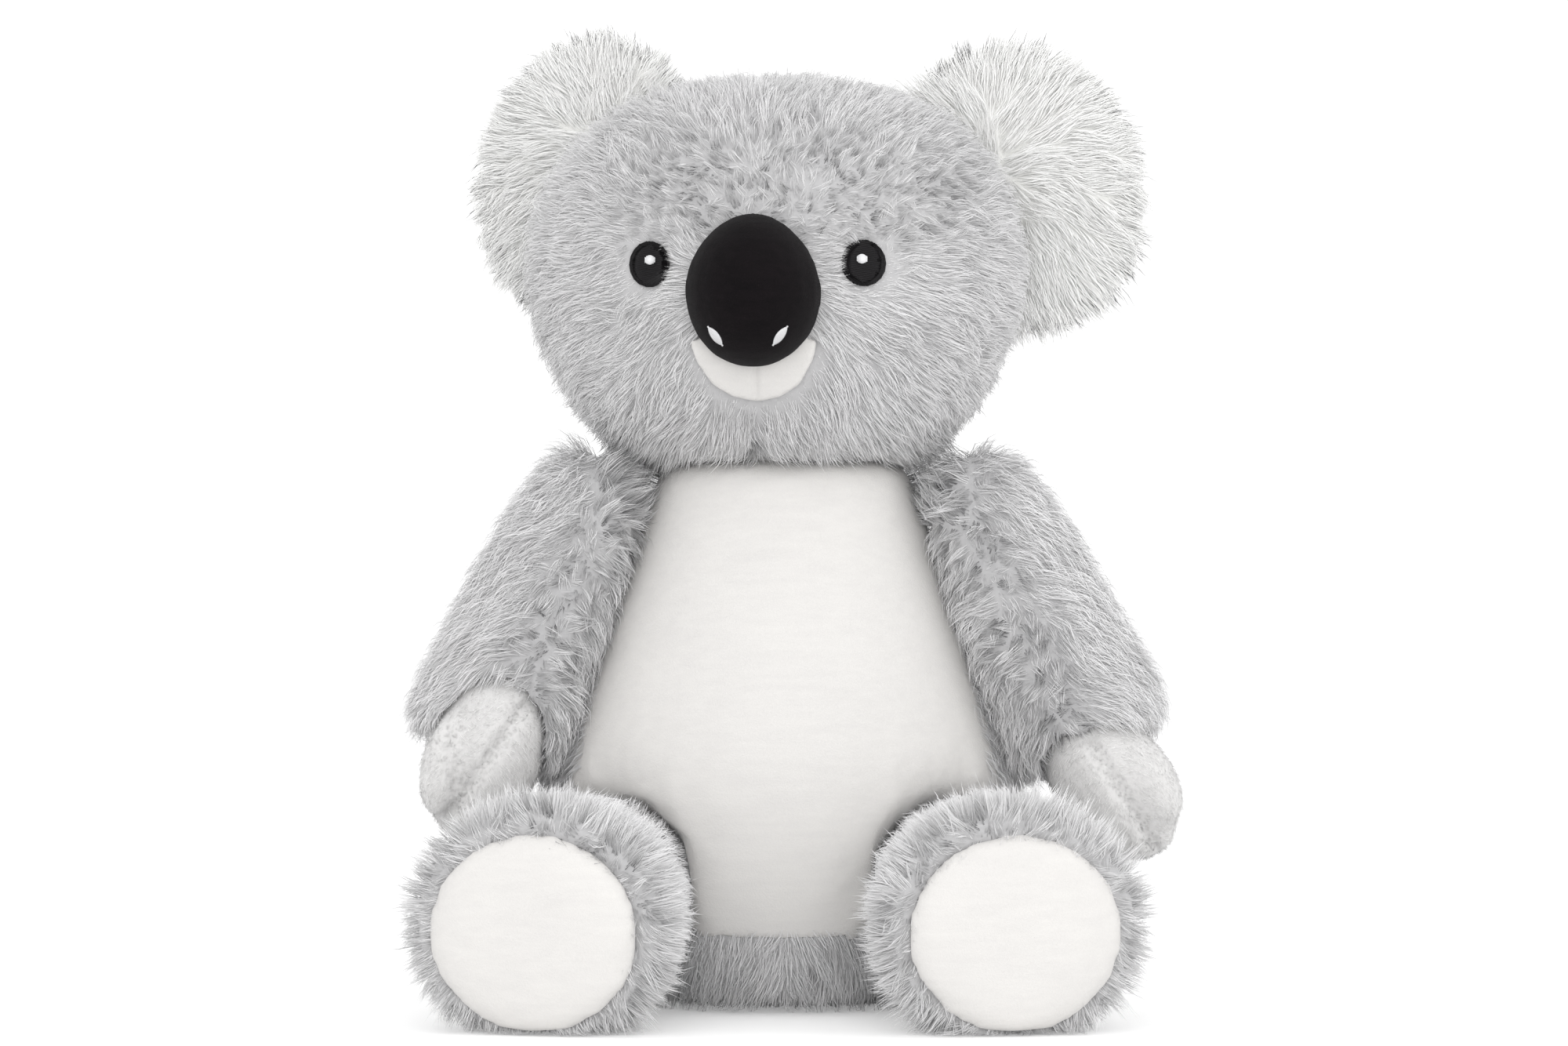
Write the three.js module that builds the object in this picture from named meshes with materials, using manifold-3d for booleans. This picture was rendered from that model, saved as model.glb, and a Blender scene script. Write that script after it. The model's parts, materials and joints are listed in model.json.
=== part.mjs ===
// Plush koala, sitting, its head turned a little to its own right. Millimetres, +Z up, the face
// towards -Y, the origin on the floor under the neck. Left and right are the koala's own, so its
// left is +X. It is a stuffed toy: sewn covers of plush, each a wall of fabric round a filling.

import * as THREE from "three";
import { mergeVertices } from "three/addons/utils/BufferGeometryUtils.js";
import Module from "manifold-3d";

const wasm = await Module();
wasm.setup();

// What all pieces share
const gap = 0.3; // between pieces that touch
const fabric = 6; // a cover's wall: the backing and its pressed pile
const floorCut = 0.5; // how deep the seat and feet are pressed flat where they stand
const overrun = 300; // how far a cutting shape runs past what it cuts
const degree = Math.PI / 180;

// Body: a pear that is widest low down. Its outline runs from the seat to the neck as shares of
// the half width and the height.
const bodyHeight = 166;
const bodyHalfWidth = 72.5;
const bellyDepth = 54; // from the middle to the front
const backDepth = 50;
const bodyOutlineShares = [
  [0, 0], [0.42, 0], [0.71, 0.035], [0.89, 0.13], [0.98, 0.26], [1, 0.39], [0.955, 0.49],
  [0.86, 0.605], [0.75, 0.725], [0.665, 0.815], [0.585, 0.905], [0.54, 0.965], [0.5, 1], [0, 1],
];
const bellyOutlineShares = [
  [0, 0.155], [0.36, 0.165], [0.7, 0.235], [0.86, 0.38], [0.8, 0.53], [0.7, 0.69], [0.63, 0.85],
  [0.55, 1.1], [0, 1.1],
];
const seatHalfWidth = 46;
const seatHalfDepth = 33;
const neckRadius = 22; // the opening where body and head are stuffed and sewn together

// Head: a broad, round head with a flat underside, on the body's flat top
const headHeight = 115;
const headHalfWidth = 75.5;
const faceDepth = 62;
const napeDepth = 54;
const headTurn = 6; // degrees to its own right, as it sits
const headShift = 2.5; // to its own right of the body's middle
const headOutlineShares = [
  [0, 0], [0.477, 0], [0.636, 0.03], [0.755, 0.094], [0.861, 0.189], [0.954, 0.326], [1, 0.481],
  [0.98, 0.618], [0.887, 0.764], [0.715, 0.884], [0.477, 0.961], [0.238, 0.991], [0, 1],
];
const headSeamBack = 8; // the seam over the crown, which holds the ears, lies this far back

// Nose, nostrils, mouth and eyes, in the head's own frame
const noseHalfWidth = 20.5;
const noseHalfHeight = 23;
const noseLength = 25; // from the face to the tip
const noseHeight = 48.5; // above the neck
const noseTaperShare = 0.14; // how far the nose narrows above its middle
const nostrilLength = 6.5;
const nostrilWidth = 2.2;
const nostrilSlant = 52;
const nostrilSpread = 9.5;
const nostrilDrop = 14; // below the middle of the nose
const stitchHeight = 0.8; // satin stitch stands this far off its ground
const mouthHalfWidth = 18;
const mouthLow = 16; // the lower edge, above the neck
const mouthHigh = 35;
const mouthProud = 1.2;
const mouthInlay = 2;
const mouthOutlineShares = [[0, 0], [0.45, 0.1], [0.8, 0.38], [1, 0.85], [0.9, 1], [0, 1]];
const eyeHalfWidth = 6.3;
const eyeHalfHeight = 6.8;
const eyeSpread = 31.8;
const eyeHeight = 56.6;
const eyeSunk = 1; // the stitched eye lies this far under the pile's surface
const eyeInlay = 2.6;
const glintSize = 2.8;
const glintInward = 0.4;
const glintRise = 1.2;

// Ears: round, swept back, sewn along the crown seam
const earHalfWidth = 41.5;
const earHalfHeight = 45;
const earThickness = 16;
const earOverhang = { left: 10.5, right: 11.5 }; // of the ear's middle outside the head
const earRise = { left: 19, right: 24 }; // degrees above level
const earSweep = { left: 15, right: 24 }; // degrees back
const earFlop = 22; // degrees each way that the ear bends at its seam
const earCuts = 2; // steps of the cut that clears the bend

// Arms: each hangs along a flat seam on the body's flank and swings in that seam's plane
const armTilt = 20; // degrees of the seam from upright
const armLean = { left: 5, right: 3 }; // degrees more that the sleeve leans out
const armForward = 10; // degrees that the seam faces forwards
const shoulderDrop = 38.5; // of the arm's axis below the neck, at the body's middle
const armSeatDepth = 1.5; // how deep the seam's flat is pressed into the flank
const armStandoff = 18; // from the seam to the middle of the arm
const cuffRadius = 25.5;
const shoulderRadius = 19; // from the arm's axis up to its rounded top
const sleeveLength = 98.5;
const sleeveOutlineShares = [
  [0, 0], [0.86, 0], [0.98, 0.04], [1, 0.13], [0.97, 0.3], [0.91, 0.48], [0.84, 0.64], [0.76, 0.79],
  [0.62, 0.91], [0.39, 0.98], [0, 1],
];
const pawHalfWidth = 19;
const pawHalfThickness = 17.5;
const pawHalfLength = 28;
const pawReach = { left: 9, right: -1 }; // the paw's middle lies this far past the cuff
const pawForward = { left: 6, right: 9 }; // and this far in front of the cuff's middle
const thumbRadius = 10;
const thumbHalfLength = 17;
const thumbDrop = 6; // of its middle past the paw's
const thumbForwardShare = 0.4;
const thumbOutShare = 0.55;
const pawTurn = { left: -8, right: 6 }; // degrees that each paw bends in

// Legs: stubs with a ball at the hip, which turns in a dish in the body, and a round sole
const hipRadius = 28;
const legSpacing = 52; // between the two hip balls
const hipSink = 4; // of the hip's middle behind the belly's surface
const calfRadius = 35;
const legLength = 80; // from the hip's middle to the sole's seam
const legSplay = { left: 9, right: 13 }; // degrees
const legWidenShare = 0.1; // how much wider than high the leg is at its sole
const legPitch = 3; // degrees that the leg runs down to the sole
const legPress = 3.5; // how much of the leg's underside its weight presses flat
const legSwing = { down: 15, up: 20 }; // degrees
const legRoom = 0.5; // the cut is this much wider than the leg
const legOutlineShares = [
  [0.8, 0.11], [0.8, 0.2], [0.87, 0.4], [0.96, 0.6], [1, 0.74], [0.995, 0.87], [0.95, 0.955],
  [0.88, 1], [0, 1],
];
const soleHalfWidth = 32;
const soleHalfHeight = 29.5;
const soleThickness = 9.5;
const soleDrop = 1.5; // of the sole's middle below the leg's
const soleOutlineShares = [
  [0, 0], [0.93, 0], [1, 0.35], [0.96, 0.68], [0.8, 0.88], [0.45, 0.98], [0, 1],
];

// How finely each round form is cut into facets
const fine = { rings: 16, sides: 26 };
const middling = { rings: 10, sides: 18 };
const coarse = { rings: 6, sides: 12 };

function material(color, roughness) {
  return new THREE.MeshStandardMaterial({ color, roughness, metalness: 0 });
}

const greyPlush = material(0xbcbcbe, 0.95);
const whitePlush = material(0xe6e6e0, 0.95);
const velour = material(0xecebe8, 0.85);
const minky = material(0xcac9c8, 0.85);
const blackVelour = material(0x191518, 0.8);
const blackThread = material(0x0d0c0e, 0.5);
const whiteThread = material(0xf4f4f2, 0.5);
const wadding = material(0xf2f1ee, 1);

// A closed geometry as a solid that can be cut and joined.
function solid(geometry) {
  const plain = geometry.clone();
  plain.deleteAttribute("normal");
  plain.deleteAttribute("uv");
  const { attributes, index } = mergeVertices(plain);
  const vertProperties = attributes.position.array;
  return new wasm.Manifold(new wasm.Mesh({ numProp: 3, vertProperties, triVerts: index.array }));
}

function geometryOf(shape) {
  const { vertProperties, numProp, triVerts } = shape.getMesh();
  const geometry = new THREE.BufferGeometry();
  geometry.setAttribute("position", new THREE.BufferAttribute(vertProperties, numProp));
  return geometry.setIndex(new THREE.BufferAttribute(triVerts, 1));
}

function piece(name, shape, finish) {
  const mesh = new THREE.Mesh(geometryOf(shape), finish);
  mesh.name = name;
  return mesh;
}

// A group at the place that a matrix gives, with what lies in its frame.
function placed(matrix, members) {
  const group = new THREE.Group().add(...members);
  matrix.decompose(group.position, group.quaternion, group.scale);
  return group;
}

// The same, seen in a mirror across the koala's middle.
function mirrorImage(member) {
  const group = new THREE.Group().add(member);
  group.scale.x = -1;
  return group;
}

function moved(shape, matrix) {
  return shape.transform(matrix.elements);
}

// The same surface a set distance out along its normals, or in where that is negative.
function offset(geometry, distance) {
  const plain = geometry.clone();
  plain.deleteAttribute("normal");
  plain.deleteAttribute("uv");
  const out = mergeVertices(plain);
  out.computeVertexNormals();
  const place = new THREE.Vector3();
  const normal = new THREE.Vector3();
  for (let i = 0; i < out.attributes.position.count; i++) {
    place.fromBufferAttribute(out.attributes.position, i);
    normal.fromBufferAttribute(out.attributes.normal, i);
    place.addScaledVector(normal, distance);
    out.attributes.position.setXYZ(i, place.x, place.y, place.z);
  }
  return out;
}

// A box between two corners.
function block(low, high) {
  const size = new THREE.Vector3().subVectors(high, low);
  const middle = new THREE.Vector3().addVectors(low, high).multiplyScalar(0.5);
  return solid(new THREE.BoxGeometry(size.x, size.y, size.z).translate(...middle.toArray()));
}

// All that lies past a limit on one axis: side 1 is above the limit, side -1 below it.
function beyond(axis, limit, side) {
  const low = new THREE.Vector3(-overrun, -overrun, -overrun);
  const high = new THREE.Vector3(overrun, overrun, overrun);
  (side > 0 ? low : high)[axis] = limit;
  return block(low, high);
}

// A smooth outline through points that are shares of a width and a height.
function outline(shares, width, height, rings) {
  const points = shares.map(([across, up]) => new THREE.Vector2(across * width, up * height));
  const curve = new THREE.SplineCurve(points).getPoints(rings);
  curve.forEach((point) => point.setX(Math.max(point.x, 0)));
  return curve;
}

// A form turned about +Z and pressed into an oval, as deep to the front and back as is asked.
function swollen(shares, size, grain) {
  const rings = outline(shares, size.halfWidth, size.height, grain.rings);
  const form = new THREE.LatheGeometry(rings, grain.sides).rotateX(Math.PI / 2);
  const places = form.attributes.position;
  for (let i = 0; i < places.count; i++) {
    const depth = places.getY(i) < 0 ? size.front : size.back;
    places.setY(i, (places.getY(i) * depth) / size.halfWidth);
  }
  return form;
}

// A solid ball, pressed into an ellipsoid by its three half sizes.
function ellipsoid(half, grain) {
  const ball = new THREE.SphereGeometry(1, grain.sides, grain.rings);
  return ball.rotateX(Math.PI / 2).scale(half.x, half.y, half.z);
}

// A closed outline in X and Z, moved out along its own normals.
function widened(points, distance) {
  const last = points.length - 1;
  return points.map((point, i) => {
    const along = points[i < last ? i + 1 : 0].clone().sub(points[i > 0 ? i - 1 : last]);
    return new THREE.Vector2(along.y, -along.x).setLength(distance).add(point);
  });
}

// All that lies in front of an outline in X and Z, from y = 0 towards -Y.
function prism(points) {
  const shape = new THREE.Shape(points);
  const settings = { depth: overrun, bevelEnabled: false, steps: 1 };
  return solid(new THREE.ExtrudeGeometry(shape, settings).rotateX(Math.PI / 2));
}

// An outline given by its right half, from the middle of its foot to the middle of its head.
function mirrored(half) {
  const other = half.slice(1, -1).reverse();
  return [...half, ...other.map((point) => new THREE.Vector2(-point.x, point.y))];
}

// Where a ray from inside a form meets its surface.
function surfacePoint(form, from, direction) {
  const target = new THREE.Mesh(form, new THREE.MeshBasicMaterial({ side: THREE.DoubleSide }));
  const ray = new THREE.Raycaster(from, direction.clone().normalize());
  return ray.intersectObject(target)[0].point;
}

// The body's form, or the form inside it that lies an inset further in.
function bodyForm(grain, inset = 0) {
  const size = {
    halfWidth: bodyHalfWidth - inset,
    front: bellyDepth - inset,
    back: backDepth - inset,
    height: bodyHeight + floorCut - 2 * inset,
  };
  return swollen(bodyOutlineShares, size, grain).translate(0, 0, inset - floorCut);
}

function headForm(grain, inset = 0) {
  const size = {
    halfWidth: headHalfWidth - inset,
    front: faceDepth - inset,
    back: napeDepth - inset,
    height: headHeight - 2 * inset,
  };
  return swollen(headOutlineShares, size, grain).translate(0, 0, inset);
}

const neckPlane = bodyHeight + gap;
const headPlace = new THREE.Matrix4()
  .makeRotationZ(-headTurn * degree)
  .setPosition(-headShift, 0, neckPlane);

// The frame of the left arm: X out of the seam, Z up along the arm, its origin at the shoulder.
function shoulderFrame() {
  const frame = new THREE.Matrix4().makeRotationFromEuler(
    new THREE.Euler(0, -armTilt * degree, -armForward * degree, "ZYX"),
  );
  const outward = new THREE.Vector3().setFromMatrixColumn(frame, 0);
  const places = bodyForm(fine).attributes.position;
  const place = new THREE.Vector3();
  let reach = 0;
  for (let i = 0; i < places.count; i++)
    reach = Math.max(reach, place.fromBufferAttribute(places, i).dot(outward));
  const axisFoot = new THREE.Vector3(0, 0, bodyHeight - shoulderDrop);
  const seam = reach - armSeatDepth - axisFoot.dot(outward);
  return frame.setPosition(axisFoot.addScaledVector(outward, seam));
}

const armFrame = shoulderFrame();

// Leg form in its own frame: the hip's middle at the origin, the leg towards -Y, +Z up. Its
// outline is the hip ball's arc and then the calf.
function legForm(grain, inset = 0) {
  const radius = hipRadius - inset;
  const ball = new THREE.Path().absarc(0, 0, radius, -Math.PI / 2, 0).getPoints(grain.rings / 2);
  ball[0].setX(0);
  const calf = outline(legOutlineShares, calfRadius - inset, legLength - inset, grain.rings);
  const form = new THREE.LatheGeometry([...ball, ...calf], grain.sides).rotateX(Math.PI);
  const places = form.attributes.position;
  for (let i = 0; i < places.count; i++) {
    const along = Math.max(-places.getY(i) / legLength, 0);
    places.setX(i, places.getX(i) * (1 + legWidenShare * along));
  }
  return form.rotateX(legPitch * degree);
}

function lowest(form) {
  form.computeBoundingBox();
  return form.boundingBox.min.z;
}

const hipHeight = -lowest(legForm(middling)) - legPress;

function hipPlace() {
  const across = hipRadius + legSpacing / 2;
  const from = new THREE.Vector3(across, 0, hipHeight);
  const skin = surfacePoint(bodyForm(fine), from, new THREE.Vector3(0, -1, 0));
  return skin.setY(skin.y + hipSink);
}

const hip = hipPlace();

// What a leg takes out of the body, on the left: the dish that its ball turns in, whose flats,
// too, keep a margin round it, and room for its root all the way that it swings.
function legSeat(name, margin) {
  const { sides, rings } = middling;
  const flats = Math.cos(Math.PI / sides) * Math.cos(Math.PI / 2 / rings);
  const dish = solid(new THREE.SphereGeometry((hipRadius + margin) / flats, sides, rings));
  const leg = solid(legForm(middling, -margin - legRoom));
  const bends = [legSwing.down, 0, -legSwing.up].map((bend) =>
    moved(leg, new THREE.Matrix4().makeRotationX(bend * degree)),
  );
  const seat = dish.add(wasm.Manifold.hull(bends));
  const splay = new THREE.Matrix4().makeRotationZ(legSplay[name] * degree);
  return moved(seat, splay.setPosition(hip));
}

// What the arms and legs take out of the body, wider by a margin.
function limbSeats(margin) {
  const seam = moved(beyond("x", -margin, 1), armFrame);
  const seats = seam.add(seam.mirror([1, 0, 0]));
  return seats.add(legSeat("left", margin)).add(legSeat("right", margin).mirror([1, 0, 0]));
}

function neckPlug(radius, low, high) {
  const plug = new THREE.CylinderGeometry(radius, radius, high - low, middling.sides);
  return solid(plug.rotateX(Math.PI / 2).translate(0, 0, (low + high) / 2));
}

function seatPrism(margin) {
  const disc = new THREE.CylinderGeometry(1, 1, 1, fine.sides).rotateX(Math.PI / 2);
  const height = fabric + floorCut + gap;
  disc.scale(seatHalfWidth + margin, seatHalfDepth + margin, 2 * height);
  return solid(disc);
}

function bodyPieces() {
  const whole = solid(bodyForm(fine))
    .subtract(beyond("z", 0, -1))
    .subtract(beyond("z", bodyHeight, 1));
  const shell = whole
    .subtract(solid(bodyForm(middling, fabric)))
    .subtract(limbSeats(gap))
    .subtract(neckPlug(neckRadius, bodyHeight / 2, bodyHeight + overrun));
  const half = outline(bellyOutlineShares, bodyHalfWidth, bodyHeight, middling.rings);
  const belly = mirrored(half);
  const sides = shell.subtract(prism(belly)).subtract(seatPrism(gap));
  const filling = solid(bodyForm(middling, fabric + 2 * gap))
    .add(neckPlug(neckRadius - gap, bodyHeight / 2, bodyHeight))
    .subtract(limbSeats(2 * gap));
  return [
    piece("body_side_left", sides.intersect(beyond("x", gap / 2, 1)), greyPlush),
    piece("body_side_right", sides.intersect(beyond("x", -gap / 2, -1)), greyPlush),
    piece("belly_panel", shell.intersect(prism(widened(belly, -gap))), velour),
    piece("seat_panel", shell.intersect(seatPrism(0)), greyPlush),
    piece("body_filling", filling, wadding),
  ];
}

// Head pieces, in the head's own frame: the neck's middle at the origin
const face = headForm(fine);
const headSolid = solid(face).subtract(beyond("z", 0, -1));

function noseForm(grain) {
  const half = new THREE.Vector3(noseHalfWidth, noseLength, noseHalfHeight);
  const form = ellipsoid(half, grain);
  const places = form.attributes.position;
  for (let i = 0; i < places.count; i++) {
    const above = Math.max(places.getZ(i) / noseHalfHeight, 0);
    places.setX(i, places.getX(i) * (1 - noseTaperShare * above * above));
  }
  const forward = new THREE.Vector3(0, -1, 0);
  const seat = surfacePoint(face, new THREE.Vector3(0, 0, noseHeight), forward);
  return form.translate(0, seat.y, noseHeight);
}

// A layer of the face between two depths, kept inside an outline.
function inlay(points, above, below) {
  const layer = solid(offset(face, above)).subtract(solid(offset(face, -below)));
  return layer.intersect(prism(points));
}

function oval(x, z, halfWidth, halfHeight) {
  return new THREE.EllipseCurve(x, z, halfWidth, halfHeight).getPoints(middling.sides).slice(1);
}

const eyeOutline = oval(eyeSpread, eyeHeight, eyeHalfWidth, eyeHalfHeight);
const mouthOutline = mirrored(
  outline(mouthOutlineShares, mouthHalfWidth, mouthHigh - mouthLow, coarse.rings).map((point) =>
    point.setY(point.y + mouthLow),
  ),
);

// The pockets in the face that the eyes and the mouth are set into.
function facePockets() {
  const eye = inlay(widened(eyeOutline, gap), fabric, eyeInlay + gap);
  const mouth = inlay(widened(mouthOutline, gap), fabric, mouthInlay + gap);
  return eye.add(eye.mirror([1, 0, 0])).add(mouth);
}

function headCovers() {
  const shell = headSolid
    .subtract(solid(headForm(middling, fabric)))
    .subtract(neckPlug(neckRadius, -overrun, headHeight / 2))
    .subtract(facePockets());
  const front = shell.intersect(beyond("y", headSeamBack - gap / 2, -1));
  const back = shell.intersect(beyond("y", headSeamBack + gap / 2, 1));
  return [
    piece("head_face_left", front.intersect(beyond("x", gap / 2, 1)), greyPlush),
    piece("head_face_right", front.intersect(beyond("x", -gap / 2, -1)), greyPlush),
    piece("head_back", back, greyPlush),
  ];
}

function headFilling() {
  const shape = solid(headForm(middling, fabric + 2 * gap))
    .add(neckPlug(neckRadius - gap, 0, headHeight / 2));
  return piece("head_filling", shape.subtract(beyond("z", 0, -1)), wadding);
}

function nosePieces() {
  const form = noseForm(middling);
  const mouthRoom = inlay(widened(mouthOutline, gap), mouthProud + gap, fabric);
  const nose = solid(form).subtract(solid(offset(face, gap))).subtract(mouthRoom);
  const layer = solid(offset(form, gap + stitchHeight)).subtract(solid(offset(form, gap)));
  const low = new THREE.Vector3(-nostrilLength / 2, -overrun, -nostrilWidth / 2);
  const high = new THREE.Vector3(nostrilLength / 2, -faceDepth - noseLength / 2, nostrilWidth / 2);
  const slit = new THREE.Matrix4()
    .makeRotationY(-nostrilSlant * degree)
    .setPosition(nostrilSpread, 0, noseHeight - nostrilDrop);
  const nostril = layer.intersect(moved(block(low, high), slit));
  return [
    piece("nose", nose, blackVelour),
    piece("nostril_left", nostril, whiteThread),
    piece("nostril_right", nostril.mirror([1, 0, 0]), whiteThread),
  ];
}

function mouthPiece() {
  return piece("mouth", inlay(mouthOutline, mouthProud, mouthInlay), velour);
}

function eyePieces(side) {
  const name = side > 0 ? "left" : "right";
  const place = (shape) => (side > 0 ? shape : shape.mirror([1, 0, 0]));
  const x = eyeSpread - glintInward;
  const glint = oval(x, eyeHeight + glintRise, glintSize / 2, glintSize / 2);
  const low = eyeSunk - gap - stitchHeight;
  return [
    piece("eye_" + name, place(inlay(eyeOutline, -eyeSunk, eyeInlay)), blackThread),
    piece("eye_glint_" + name, place(inlay(glint, -low, eyeSunk - gap)), whiteThread),
  ];
}

// An ear's frame, as on the left: X out of the head, Y back, Z along the seam, its origin on the
// head.
function earFrame(name) {
  const frame = new THREE.Matrix4().makeRotationFromEuler(
    new THREE.Euler(0, -earRise[name] * degree, earSweep[name] * degree, "ZYX"),
  );
  const outward = new THREE.Vector3().setFromMatrixColumn(frame, 0);
  const middle = new THREE.Vector3(0, headSeamBack, headHeight / 2);
  return frame.setPosition(surfacePoint(face, middle, outward));
}

// A round ear pad, cut clear of the head all the way that it bends, and then in two at its rim.
function ear(name) {
  const frame = earFrame(name);
  const head = moved(solid(offset(face, gap)), frame.clone().invert());
  const half = new THREE.Vector3(earHalfWidth, earThickness / 2, earHalfHeight);
  let pad = solid(ellipsoid(half, middling).translate(earOverhang[name], 0, 0));
  for (let i = -earCuts; i <= earCuts; i++) {
    const bend = new THREE.Matrix4().makeRotationZ((i / earCuts) * earFlop * degree);
    pad = pad.subtract(moved(head, bend));
  }
  return placed(frame, [
    piece("ear_front_" + name, pad.intersect(beyond("y", -gap / 2, -1)), whitePlush),
    piece("ear_back_" + name, pad.intersect(beyond("y", gap / 2, 1)), greyPlush),
  ]);
}

function headPieces() {
  return [
    ...headCovers(),
    headFilling(),
    ...nosePieces(),
    mouthPiece(),
    ...eyePieces(1),
    ...eyePieces(-1),
  ];
}

// Arm of one side, in the left arm's frame: a sleeve round its filling, and a mitten paw
function sleeveForm(name, grain, inset = 0) {
  const radius = cuffRadius - inset;
  const size = { halfWidth: radius, front: radius, back: radius, height: sleeveLength - 2 * inset };
  const form = swollen(sleeveOutlineShares, size, grain);
  form.translate(0, 0, shoulderRadius - sleeveLength + inset);
  return form.rotateY(-armLean[name] * degree).translate(armStandoff, 0, 0);
}

// The paw's mitten and its thumb, both wider by a margin.
function pawShape(name, margin) {
  const cuff = shoulderRadius - sleeveLength;
  const mitt = ellipsoid(
    new THREE.Vector3(pawHalfThickness + margin, pawHalfWidth + margin, pawHalfLength + margin),
    middling,
  );
  const thumb = ellipsoid(
    new THREE.Vector3(thumbRadius + margin, thumbRadius + margin, thumbHalfLength + margin),
    coarse,
  );
  thumb.translate(pawHalfThickness * thumbOutShare, -pawHalfWidth * thumbForwardShare, -thumbDrop);
  const paw = solid(mitt).add(solid(thumb));
  const lean = new THREE.Matrix4().makeRotationY(-armLean[name] * degree).setPosition(armStandoff, 0, 0);
  const bend = new THREE.Matrix4().makeRotationY(pawTurn[name] * degree).setPosition(0, 0, cuff);
  const reach = new THREE.Matrix4().makeTranslation(0, -pawForward[name], -pawReach[name]);
  return moved(paw, lean.multiply(bend).multiply(reach));
}

function armPieces(name) {
  const bodySide = beyond("x", gap / 2, -1);
  const headRoom = moved(moved(solid(offset(face, gap)), headPlace), armFrame.clone().invert());
  const sleeve = solid(sleeveForm(name, middling))
    .subtract(solid(sleeveForm(name, coarse, fabric)))
    .subtract(pawShape(name, gap))
    .subtract(bodySide)
    .subtract(headRoom);
  const filling = solid(sleeveForm(name, coarse, fabric + 2 * gap))
    .subtract(pawShape(name, gap))
    .subtract(bodySide);
  return [
    piece("sleeve_" + name, sleeve, greyPlush),
    piece("arm_filling_" + name, filling, wadding),
    piece("paw_" + name, pawShape(name, 0).subtract(bodySide), minky),
  ];
}

// Leg of one side, in its own frame: a cover round its filling, closed by the sole
function soleForm(margin) {
  const width = soleHalfWidth + margin;
  const points = outline(soleOutlineShares, width, soleThickness + 2 * margin, coarse.rings);
  const form = new THREE.LatheGeometry(points, middling.sides).rotateX(Math.PI);
  form.scale(1, 1, (soleHalfHeight + margin) / width);
  return form.translate(0, fabric + margin - legLength, -soleDrop).rotateX(legPitch * degree);
}

// The opening in the end of the leg that the sole fills.
function soleHole() {
  const hole = new THREE.CylinderGeometry(1, 1, 1, middling.sides);
  hole.scale(soleHalfWidth + gap, 2 * fabric, soleHalfHeight + gap);
  return solid(hole.translate(0, -legLength, -soleDrop).rotateX(legPitch * degree));
}

function legPieces(name) {
  const floor = beyond("z", -hipHeight, -1);
  const cover = solid(legForm(middling))
    .subtract(solid(legForm(coarse, fabric)))
    .subtract(soleHole())
    .subtract(solid(soleForm(gap)))
    .subtract(floor);
  const filling = solid(legForm(coarse, fabric + 2 * gap)).subtract(solid(soleForm(gap)));
  return [
    piece("leg_cover_" + name, cover, greyPlush),
    piece("leg_filling_" + name, filling, wadding),
    piece("sole_" + name, solid(soleForm(0)).subtract(floor), velour),
  ];
}

function limbs(name) {
  const arm = placed(armFrame, armPieces(name));
  const leg = new THREE.Group().add(...legPieces(name));
  leg.position.copy(hip);
  leg.rotation.z = legSplay[name] * degree;
  return new THREE.Group().add(arm, leg);
}

const head = placed(headPlace, [...headPieces(), ear("left"), mirrorImage(ear("right"))]);
const koala = new THREE.Group().add(...bodyPieces(), head);
koala.add(limbs("left"), mirrorImage(limbs("right")));

export default koala;
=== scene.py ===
# Plush koala, sitting. Metres, +Z up, the koala faces -Y and its own left is +X.
import json
import math

import bmesh
import bpy
import numpy as np
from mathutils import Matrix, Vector, bvhtree, kdtree, noise


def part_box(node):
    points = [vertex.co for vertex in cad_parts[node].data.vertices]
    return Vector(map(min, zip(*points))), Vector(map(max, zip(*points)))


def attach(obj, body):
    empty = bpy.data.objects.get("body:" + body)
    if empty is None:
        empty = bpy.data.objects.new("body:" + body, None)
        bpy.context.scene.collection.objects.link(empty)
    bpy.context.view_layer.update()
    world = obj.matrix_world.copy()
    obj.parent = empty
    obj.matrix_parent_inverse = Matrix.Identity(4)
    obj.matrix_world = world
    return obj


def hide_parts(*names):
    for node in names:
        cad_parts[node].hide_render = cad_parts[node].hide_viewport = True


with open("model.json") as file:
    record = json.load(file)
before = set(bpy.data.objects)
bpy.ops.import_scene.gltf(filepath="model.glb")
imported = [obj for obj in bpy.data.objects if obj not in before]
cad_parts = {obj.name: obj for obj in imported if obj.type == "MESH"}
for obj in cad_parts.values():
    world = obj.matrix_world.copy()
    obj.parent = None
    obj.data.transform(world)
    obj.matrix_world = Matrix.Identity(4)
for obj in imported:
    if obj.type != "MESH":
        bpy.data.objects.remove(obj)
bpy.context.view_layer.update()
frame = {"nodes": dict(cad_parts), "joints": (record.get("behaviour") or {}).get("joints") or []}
scene = bpy.context.scene
mm = 0.001

# Floor and backdrop: one pale sweep of paper that runs up far behind the toy. The camera sees it
# a little lighter than its own colour, so that it is white round the toy and keeps the shadow.
paper_width = 7.0
paper_front = -3.0
paper_turn = 3.2
paper_radius = 0.5
paper_height = 2.6
paper_dark, paper_light = 0.84, 0.88
paper_glow = 0.32


def placed(name, data):
    """A new object in the scene."""
    made = bpy.data.objects.new(name, data)
    scene.collection.objects.link(made)
    return made


def smooth_object(name, shape, material):
    """A new object with the faces of a bmesh, which is freed."""
    mesh = bpy.data.meshes.new(name)
    shape.to_mesh(mesh)
    shape.free()
    mesh.shade_smooth()
    mesh.materials.append(material)
    return placed(name, mesh)


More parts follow.
